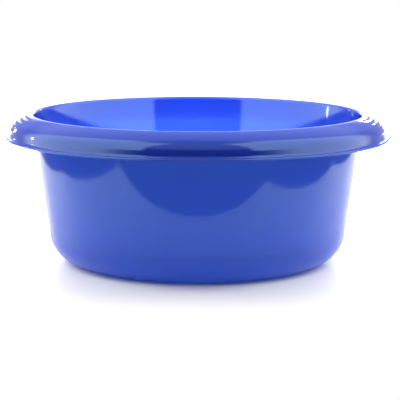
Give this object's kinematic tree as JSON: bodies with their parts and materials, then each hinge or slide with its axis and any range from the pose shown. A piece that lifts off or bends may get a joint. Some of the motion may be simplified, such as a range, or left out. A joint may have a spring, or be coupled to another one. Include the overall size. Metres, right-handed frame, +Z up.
{
  "type": "washing-up bowl",
  "caption": "Round plastic washing-up bowl with a steep side wall, a rolled rim that turns down to a beaded lip, and ridged hand grips on opposite sides.",
  "frame": {"origin": "on the bowl's axis, in the plane that the foot ring rests on", "axes": "+Z up along the bowl's axis; the ridged grips are centred on +X and -X"},
  "size_m": [0.36, 0.36, 0.14],
  "materials": {
    "bowl_plastic": "smooth glossy moulded plastic, opaque blue"
  },
  "bodies": {
    "root": {"floor": "bowl_plastic", "foot_ring": "bowl_plastic", "heel": "bowl_plastic", "side_wall": "bowl_plastic", "rim_crown": "bowl_plastic", "rim_skirt": "bowl_plastic", "lip": "bowl_plastic", "grip_left": "bowl_plastic", "grip_right": "bowl_plastic"}
  },
  "joints": []
}
